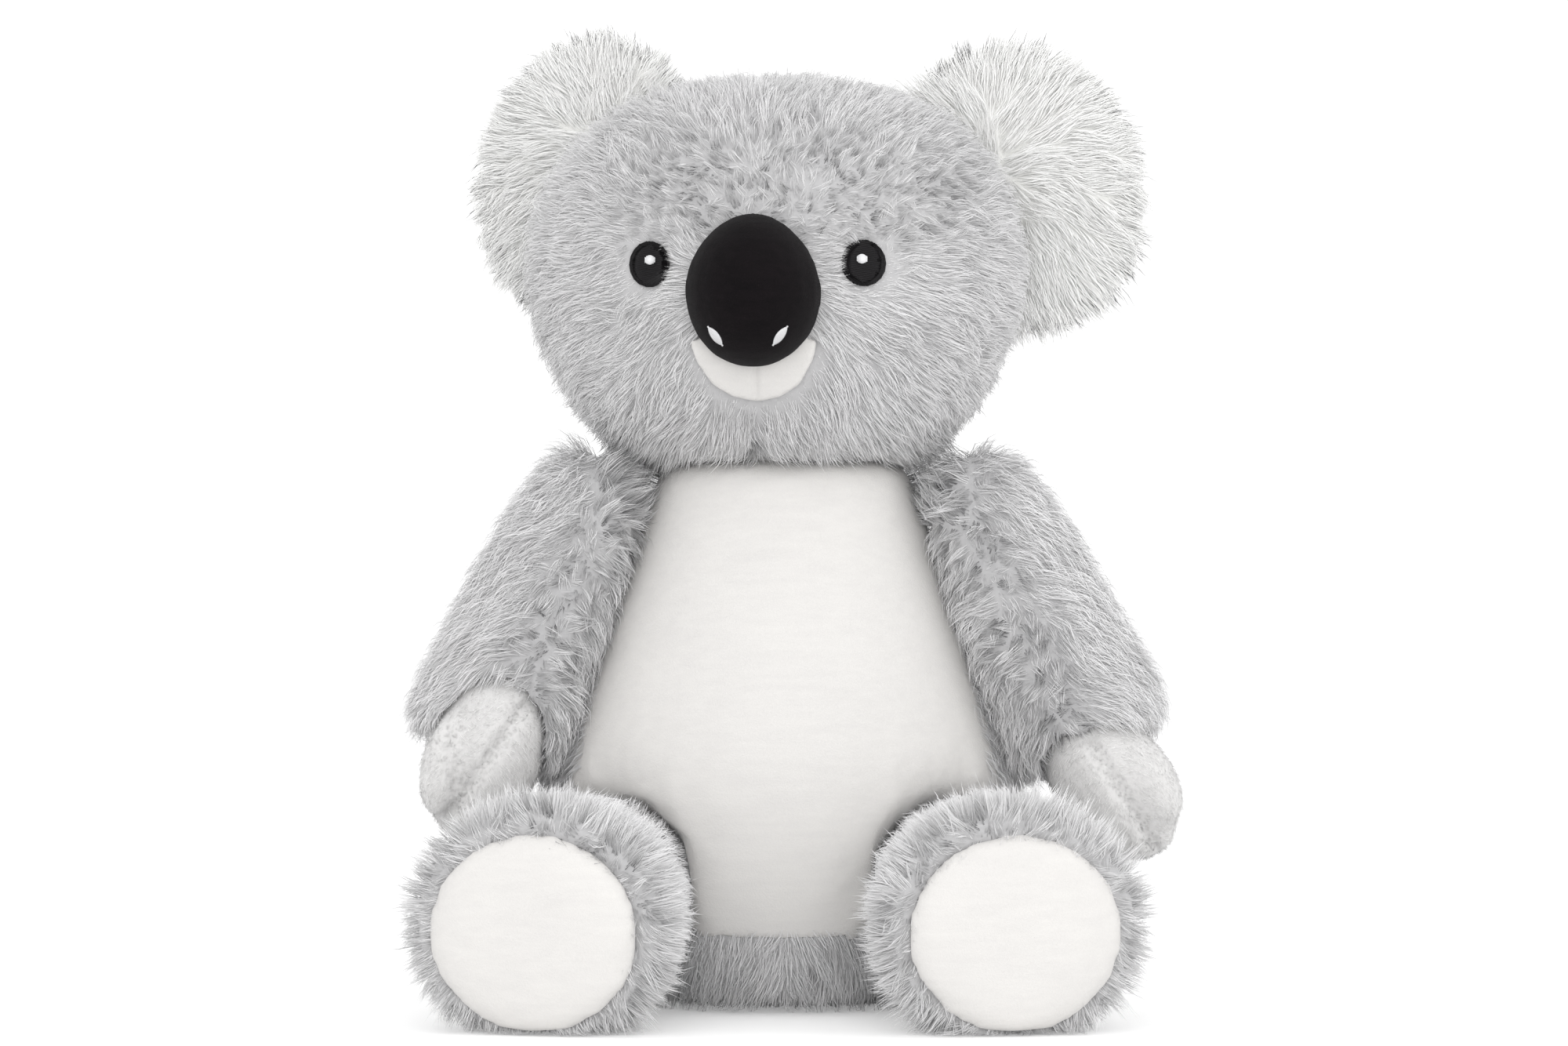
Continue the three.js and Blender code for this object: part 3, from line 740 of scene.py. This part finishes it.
for number, own in enumerate(head_solids[:3]):
    others = [n for n in head_solids[:3] if n != own]
    cover = panel_of(head_form, [own], others, backing, under=face_trims)
    bent_hairs, straight_hairs = (0.45, 1.4) if own == "head_back" else (0.55, 1.6)  # per mm2
    hairs = grown_pile(cover, head_comb, head_length, 21 + number, head_ruffle, bent=bent_hairs,
                       straight=straight_hairs, near=head_near, stand=head_stand)
    plush = piece_of(own.replace("head_face", "face_plush").replace("head_back", "nape_plush"),
                     cover, hairs, grey_pile)
    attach(plush, "head")
    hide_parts(own)
bpy.data.objects.remove(head_form)

# Nose: an egg of black velour, stuffed, closed and then sewn on the face above the mouth. The
# face's pile comes up to its edge.
black_velour_light = (0.0075, 0.0055, 0.0065, 1)
black_velour_dark = (0.003, 0.0025, 0.003, 1)
nose_voxel = 1.8 * mm
nose_give = 1.0 * mm

nose_form = stuffed_form(["nose"], nose_voxel, nose_give)
nose_velour = velour_material("black_velour", black_velour_light, black_velour_dark, grain=2200.0,
                              bump=0.5, sheen=0.03)
nose = smooth_piece("nose_velour", panel_of(nose_form, ["nose"], [], 0.0), nose_velour)
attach(nose, "head")
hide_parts("nose")
bpy.data.objects.remove(nose_form)

# Nostrils: two leaves in satin stitch, of thick white thread that runs across each leaf and
# goes through the nose's velour at its edge.
thread_pitch = 0.4 * mm
thread_radius = 0.24 * mm
thread_dip = 0.3 * mm  # how deep a stitch's ends lie in the ground
nostril_rise = 0.5 * mm
nostril_half_length = 3.4 * mm
nostril_half_width = 1.25 * mm
nostril_slant = math.radians(52)
thread_white = (0.84, 0.84, 0.845, 1)
thread_white_dark = (0.7, 0.7, 0.72, 1)


def rows_over(half):
    """Where rows of thread lie, from -1 to 1, on a shape of this half size."""
    count = round(2 * half / thread_pitch)
    return [2 * row / count - 1 for row in range(count + 1)]


def stitches(name, ground, ends, rise, material, base=None):
    """Threads that lie side by side on a ground. Each runs between two points, given by their X
    and Z, is a little arched, and dips into the ground at both ends."""
    steps, corners = 6, 5
    forwards = Vector((0, -1, 0))
    cloth = bmesh.new()
    if base:
        cloth.from_mesh(frame["nodes"][base].data)
        bmesh.ops.remove_doubles(cloth, verts=cloth.verts, dist=weld)
    for first, last in ends:
        path = []
        for step in range(steps + 1):
            share = step / steps
            x, z = (a + (b - a) * share for a, b in zip(first, last))
            hit = ground.ray_cast(Vector((x, -1, z)), -forwards)[0]
            if hit is None:
                hit = ground.find_nearest(Vector((x, -0.08, z)))[0]
            arch = math.sin(math.pi * share) ** 0.4 * rise - thread_dip
            path.append(hit + forwards * arch)
        along = (path[-1] - path[0]).normalized()
        across = along.cross(forwards).normalized()
        rings = []
        for place in path:
            ring = []
            for corner in range(corners):
                angle = math.tau * corner / corners
                out = across * math.cos(angle) + forwards * math.sin(angle)
                ring.append(cloth.verts.new(place + out * thread_radius))
            rings.append(ring)
        for low, high in zip(rings, rings[1:]):
            for corner in range(corners):
                other = (corner + 1) % corners
                cloth.faces.new((low[corner], low[other], high[other], high[corner]))
        cloth.faces.new(rings[0][::-1])
        cloth.faces.new(rings[-1])
    bmesh.ops.recalc_face_normals(cloth, faces=cloth.faces)
    return smooth_object(name, cloth, material)


def thread_material(name, light, dark, roughness):
    """Embroidery thread: smooth and a little shiny, each strand slightly lighter or darker."""
    made, tree = fresh_material(name)
    strands = noise_in(tree, place_in(tree), Scale=2600.0, Detail=2.0)
    relief = node_of(tree, "ShaderNodeBump", Strength=0.4, Distance=0.1 * mm, Height=strands)
    colour = colour_mix(tree, strands, dark, light)
    return surfaced(made, Base_Color=colour, Normal=relief.outputs[0], Roughness=roughness,
                    Specular_IOR_Level=0.25)


white_thread = thread_material("white_thread", thread_white, thread_white_dark, roughness=0.45)
nose_ground = search_tree(nose)
for side, sign in sides.items():
    middle = middle_of("nostril_" + side)[[0, 2]]
    along = np.array((sign * math.cos(nostril_slant), math.sin(nostril_slant)))
    across = np.array((-along[1] * sign, along[0] * sign))
    ends = []
    for share in rows_over(nostril_half_length):
        half = nostril_half_width * max(1 - abs(share) ** 2.2, 0.22)
        place = middle + along * share * nostril_half_length
        ends.append((place - across * half, place + across * half))
    nostril = stitches("nostril_stitches_" + side, nose_ground, ends, nostril_rise, white_thread)
    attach(nostril, "head")
    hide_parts("nostril_" + side)

# Mouth: a crescent of the belly's velour, set into the face under the nose. The face's middle
# seam runs through it and draws it in.
mouth_seam_depth = 0.9 * mm
mouth_seam_width = 0.9 * mm
mouth_spread = 1.07  # its right half is a little longer
mouth_forwards = 0.4 * mm
mouth_voxel = 1.0 * mm

mouth_form = stuffed_form(["mouth"], mouth_voxel, 0.0, smoothing=3)
mouth = smooth_piece("mouth_velour", panel_of(mouth_form, ["mouth"], [], 0.0), white_velour)
mouth_middle = middle_of("mouth")[0]
for vert in mouth.data.vertices:
    aside = (vert.co.x - mouth_middle) / mouth_seam_width
    vert.co.y += mouth_seam_depth * math.exp(-aside * aside) - mouth_forwards
    if aside < 0:
        vert.co.x = mouth_middle + (vert.co.x - mouth_middle) * mouth_spread
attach(mouth, "head")
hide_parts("mouth")
bpy.data.objects.remove(mouth_form)

# Eyes: ovals in black satin stitch. Slanted rows fill the middle, and a rim of short stitches
# runs round them with a ragged outer edge. The highlight is a rounded square of white stitches.
eye_half_width = 6.3 * mm
eye_half_height = 6.9 * mm
eye_fill_share = 0.84
eye_slant = 0.12
eye_rise = 0.55 * mm
rim_inner, rim_outer = 0.76, 1.02  # shares of the eye's size between which the rim's stitches run
rim_turn = 0.05  # how far the outer end of a rim's stitch is turned on, in radians
glint_half = 1.35 * mm
glint_rise = 0.4 * mm
thread_black = (0.010, 0.009, 0.010, 1)
thread_black_dark = (0.004, 0.0035, 0.0045, 1)

black_thread = thread_material("black_thread", thread_black, thread_black_dark, roughness=0.5)
eye_rng = np.random.default_rng(61)
for side in sides:
    x, _, z = middle_of("eye_" + side)
    ground = search_tree(frame["nodes"]["eye_" + side])
    ends = []
    for share in rows_over(eye_half_height * eye_fill_share)[1:-1]:
        half = eye_half_width * eye_fill_share * math.sqrt(1 - share * share)
        height = z + share * eye_half_height * eye_fill_share
        ends.append(((x - half, height - eye_slant * half), (x + half, height + eye_slant * half)))
    count = round(math.pi * (eye_half_width + eye_half_height) / thread_pitch)
    for row in range(count):
        angle = math.tau * row / count
        inner = rim_inner + 0.03 * eye_rng.random()
        outer = rim_outer + 0.07 * eye_rng.random()
        ends.append([
            (x + out * eye_half_width * math.cos(turn), z + out * eye_half_height * math.sin(turn))
            for out, turn in ((inner, angle), (outer, angle + rim_turn))
        ])
    eye = stitches("eye_stitches_" + side, ground, ends, eye_rise, black_thread,
                   base="eye_" + side)
    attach(eye, "head")
    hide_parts("eye_" + side)
    x, _, z = middle_of("eye_glint_" + side)
    ends = []
    for share in rows_over(glint_half):
        half = glint_half * (1 - 0.3 * abs(share) ** 4)
        ends.append(((x + share * glint_half, z - half), (x + share * glint_half, z + half)))
    glint = stitches("glint_stitches_" + side, search_tree(eye), ends, glint_rise, white_thread,
                     base="eye_glint_" + side)
    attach(glint, "head")
    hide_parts("eye_glint_" + side)

# Ears: round pads, long white pile in front and the head's grey plush behind, sewn into the crown
# seam. The white pile falls outwards from the middle, and over the edge of the head.
ear_voxel = 3.2 * mm
ear_give = 1.5 * mm
white_root = (0.96, 0.96, 0.94, 1)
white_tip = (0.985, 0.985, 0.975, 1)
# The shadow colour is painted shade for the gaps in the white pile, with a faint yellow-green
# tint.
white_shadow = (0.86, 0.86, 0.81, 1)
ear_pile_length = 11 * mm
ear_parting_in = 12 * mm  # where the white pile falls apart, seen from the ear's middle
ear_parting_up = 2 * mm
ear_edge = 16.8, 2.8  # mm from the head, where the pile begins to stand and where it all does

white_pile = pile_material("white_pile", white_root, white_tip, white_shadow, sheen=0.6,
                           darkest=0.96)
for number, (side, sign) in enumerate(sides.items()):
    front, back = "ear_front_" + side, "ear_back_" + side
    parting = middle_of(front) + (-sign * ear_parting_in, 0, ear_parting_up)

    def ear_comb(points, normals, parting=parting):
        return unit(points - parting) + (0, 0, -0.3)

    def ear_ruffle(points):
        return np.full(len(points), 0.1)

    def ear_stand(points, side=side):
        """1 next to the head, where the pile stands up over the head's edge."""
        return ramp(clearance(points, ["head_face_" + side]), *ear_edge)

    def ear_length(points, ear_stand=ear_stand):
        return ear_pile_length * (1 + 0.5 * ear_stand(points))

    ear_form = stuffed_form([front, back], ear_voxel, ear_give)
    near_head = [(["head_face_" + side, "head_back"], -5.0, 3.0)]
    cover = panel_of(ear_form, [front], [back], backing)
    hairs = grown_pile(cover, ear_comb, ear_length, 31 + number, ear_ruffle, clump=26.0, bent=1.3,
                       straight=1.6, near=near_head, stand=ear_stand, lean=(0, -1.4, 0.2))
    plush = piece_of("ear_white_" + side, cover, hairs, white_pile)
    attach(plush, "ear_" + side)
    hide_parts(front)
    cover = panel_of(ear_form, [back], [front], backing)
    hairs = grown_pile(cover, ear_comb, head_pile_length, 33 + number, ear_ruffle, near=near_head)
    plush = piece_of("ear_grey_" + side, cover, hairs, grey_pile)
    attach(plush, "ear_" + side)
    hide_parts(back)
    bpy.data.objects.remove(ear_form)

# Arms: a grey plush sleeve on each side, stuffed, with a seam down its front at which the pile
# parts. The pile of the cuff runs out over the paw.
arm_voxel = 3.6 * mm
arm_give = 2.5 * mm
arm_pile_length = 10.5 * mm
shoulder_out = 18 * mm  # from the joint's place to the middle of the shoulder
arm_seam_in = 8 * mm  # from the arm's middle line to its front seam

for number, (side, sign) in enumerate(sides.items()):
    sleeve = "sleeve_" + side
    joint = next(j for j in frame["joints"] if j["name"] == "arm_swing_" + side)
    outward = -sign * unit(np.array([joint["axis"]]))[0]
    arm_form = stuffed_form([sleeve, "arm_filling_" + side], arm_voxel, arm_give)
    cover = panel_of(arm_form, [sleeve], [], backing)
    middle = cover[0].mean(axis=0)
    shoulder = np.array(joint["pos_m"]) + outward * shoulder_out
    down = unit(np.array([middle - shoulder]))[0]

    def from_seam(points, middle=middle, down=down, sign=sign):
        """How far points lie to the outside of the seam along the arm's front."""
        off_axis = (points - middle) - ((points - middle) @ down)[:, None] * down
        return off_axis[:, 0] * sign + arm_seam_in

    def arm_comb(points, normals, from_seam=from_seam, down=down, sign=sign):
        """Down the arm and away from its front seam, and up to the head on the shoulder."""
        across = from_seam(points)
        front = np.clip(-normals[:, 1], 0, 1) ** 2
        aside = np.sign(across) * np.exp(-np.abs(across) / (26 * mm)) * front
        inner = (on_shoulder(points) * (np.abs(points[:, 0]) < 56 * mm))[:, None]
        along = down * 0.8 + aside[:, None] * (1.1 * sign, 0, 0)
        return along * (1 - inner) + inner * (-0.9 * sign, -0.2, 0.6)

    def arm_length(points):
        """Longer on the shoulder, towards the head."""
        inner = on_shoulder(points) * (np.abs(points[:, 0]) < 62 * mm)
        return arm_pile_length * (1 + 0.3 * inner)

    # Ruffled along the front seam, where the parted pile is also darkened with painted shade.
    def arm_ruffle(points, from_seam=from_seam):
        parted = np.exp(-((from_seam(points) / (9 * mm)) ** 2))
        return 0.08 + 0.95 * parted * ramp(points[:, 1], 0, -14)

    arm_near = [
        (["body_side_" + side], -1.5, 2.4), (["belly_panel", "head_face_" + side], -2.5, 3.0),
        (["paw_" + side], 0.2, 3.0),
    ]
    hairs = grown_pile(cover, arm_comb, arm_length, 41 + number, arm_ruffle, near=arm_near,
                       lean=(0, -0.4, 0.1))
    plush = piece_of("sleeve_plush_" + side, cover, hairs, grey_pile)
    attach(plush, "arm_" + side)
    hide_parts(sleeve)
    bpy.data.objects.remove(arm_form)

# Paws: mittens of a plush with a short dense pile, stuffed, each with a thumb lobe. A seam runs
# over the front of each to its tip. It draws the paw in, and the pile parts and puckers along it,
# darkened there with painted shade.
minky_root = (0.93, 0.92, 0.91, 1)
minky_tip = (0.98, 0.97, 0.96, 1)
# The shadow colour is painted shade, taken along the seam where the pile parts.
minky_shadow = (0.5, 0.5, 0.5, 1)
paw_pile_length = 2.6 * mm
paw_seam_depth = 2.2 * mm
paw_seam_width = 1.6 * mm
paw_voxel = 1.8 * mm
paw_give = 1.5 * mm
paw_inset = 0.4 * mm
paw_seams = {  # X and Z of both ends of the seam and, on the right paw, of the crease at the thumb
    "left": [((91, 82), (111, 49))],
    "right": [((-76, 93), (-99, 60)), ((-100, 84), (-97, 66))],
}

minky_pile = pile_material("minky_pile", minky_root, minky_tip, minky_shadow, sheen=0.4,
                           darkest=0.55)
for number, side in enumerate(sides):
    lines = [np.array(line) * mm for line in paw_seams[side]]

    def from_paw_seam(points, lines=lines):
        """How far each point lies from the nearest seam or crease, seen from the front, and the
        way that leads off it."""
        nearest, way = np.full(len(points), 1.0), np.zeros((len(points), 3))
        for first, last in lines:
            run = last - first
            share = np.clip(((points[:, [0, 2]] - first) @ run) / (run @ run), 0, 1)
            off = points[:, [0, 2]] - first - share[:, None] * run
            far = np.linalg.norm(off, axis=1)
            closer = far < nearest
            way[closer] = unit(np.stack([off[:, 0], 0 * far, off[:, 1]], axis=1))[closer]
            nearest = np.minimum(nearest, far)
        return nearest, way

    def paw_comb(points, normals, from_paw_seam=from_paw_seam):
        """Off the seam, and down."""
        far, way = from_paw_seam(points)
        return way * np.exp(-far / (7 * mm))[:, None] * 1.5 + (0, 0, -0.6)

    # Ruffled along the seam and the crease in front, which darkens the pile there with painted
    # shade, as in a groove.
    def paw_ruffle(points, from_paw_seam=from_paw_seam):
        parted = np.exp(-((from_paw_seam(points)[0] / (2.2 * mm)) ** 2))
        return 0.05 + 1.2 * parted * (points[:, 1] < 0)

    paw_form = stuffed_form(["paw_" + side], paw_voxel, paw_give, smoothing=2)
    skin, outwards = points_of(paw_form.data), points_of(paw_form.data, "normal")
    groove = np.exp(-((from_paw_seam(skin)[0] / paw_seam_width) ** 2)) * (outwards[:, 1] < 0)
    skin -= outwards * (paw_seam_depth * groove)[:, None]
    paw_form.data.vertices.foreach_set("co", skin.ravel())
    paw_form.data.update()
    cover = panel_of(paw_form, ["paw_" + side], [], paw_inset)
    hairs = grown_pile(cover, paw_comb, paw_pile_length, 61 + number, paw_ruffle, clump=6.0,
                       bent=0.3, straight=3.0, width=0.2, near=[(["sleeve_" + side], -1.0, 1.5)])
    paw = piece_of("paw_minky_" + side, cover, hairs, minky_pile)
    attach(paw, "arm_" + side)
    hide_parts("paw_" + side)
    bpy.data.objects.remove(paw_form)

# Legs: stubs of grey plush, stuffed, sewn on at the hip. The pile runs back from the sole, and
# stands up in a ruff round it.
leg_voxel = 4.0 * mm
leg_give = 2.5 * mm
leg_pile_length = 11 * mm
leg_inset = 0.4 * mm
ruff_start, ruff_end = (4, 7), (13.2, 7.2)  # mm from the sole, each from none to full

for number, (side, sign) in enumerate(sides.items()):
    cover_name = "leg_cover_" + side
    hip = np.array(next(j for j in frame["joints"] if j["name"] == "leg_swing_" + side)["pos_m"])
    along = unit(np.array([middle_of("sole_" + side) - hip]))[0]
    leg_form = stuffed_form([cover_name, "leg_filling_" + side], leg_voxel, leg_give)
    cover = panel_of(leg_form, [cover_name], [], leg_inset, under=["sole_" + side], dip=0.0)

    def leg_comb(points, normals, hip=hip, along=along):
        """Outwards round the sole, and then back towards the hip and a little down."""
        reach = (points - hip) @ along
        outward = unit((points - hip) - reach[:, None] * along)
        return outward - along + (0, 0, -0.25)

    def leg_stand(points, side=side):
        """1 in the ruff, which begins a little outside the sole's edge."""
        away = clearance(points, ["sole_" + side])
        return ramp(away, *ruff_start) * ramp(away, *ruff_end)

    def leg_ruffle(points, hip=hip, along=along, side=side, sign=sign):
        """Most ruffled next to the sole, and there at the upper inner side. The ruffle also
        darkens the pile there with painted shade.
        """
        outward = unit((points - hip) - ((points - hip) @ along)[:, None] * along)
        inner = np.clip(outward @ (-0.6 * sign, 0, 0.8), 0, 1)
        ring = np.exp(-((clearance(points, ["sole_" + side]) - 3 * mm) / (5 * mm)) ** 2)
        return plain_ruffle + (0.3 + 0.55 * inner) * ring

    leg_near = [
        (["body_side_" + side, "belly_panel", "body_filling"], 0.2, 1.3),
        (["sole_" + side], -1.5, 3.0),
    ]
    hairs = grown_pile(cover, leg_comb, leg_pile_length, 51 + number, leg_ruffle, bent=0.47,
                       straight=1.45, near=leg_near, stand=leg_stand, lean=0.9 * along)
    plush = piece_of("leg_plush_" + side, cover, hairs, grey_pile)
    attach(plush, "leg_" + side)
    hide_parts(cover_name)
    bpy.data.objects.remove(leg_form)

# Soles: oval pads of the belly's velour, sewn into the ends of the legs. Each is a little
# stuffed, and the leg's pile runs up to its edge.
sole_voxel = 2.4 * mm
sole_give = 1.5 * mm

for side in sides:
    sole_form = stuffed_form(["sole_" + side], sole_voxel, sole_give)
    sole = smooth_piece("sole_velour_" + side, panel_of(sole_form, ["sole_" + side], [], 0.0),
                        white_velour)
    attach(sole, "leg_" + side)
    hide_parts("sole_" + side)
    bpy.data.objects.remove(sole_form)

# Stuffing: white polyester fibre, pushed into the covers before they are closed. It fills the
# neck as well and is never seen.
wadding_white = (0.84, 0.835, 0.82, 1)
wadding_shade = (0.74, 0.73, 0.71, 1)


def wadding_material():
    made, tree = fresh_material("wadding")
    tufts = noise_in(tree, place_in(tree), Scale=220.0, Detail=6.0, Roughness=0.7)
    colour = colour_mix(tree, tufts, wadding_shade, wadding_white)
    return surfaced(made, Base_Color=colour, Roughness=0.95, Specular_IOR_Level=0.1)


wadding = wadding_material()
for node, solid_piece in frame["nodes"].items():
    if "filling" in node:
        solid_piece.data.materials.clear()
        solid_piece.data.materials.append(wadding)
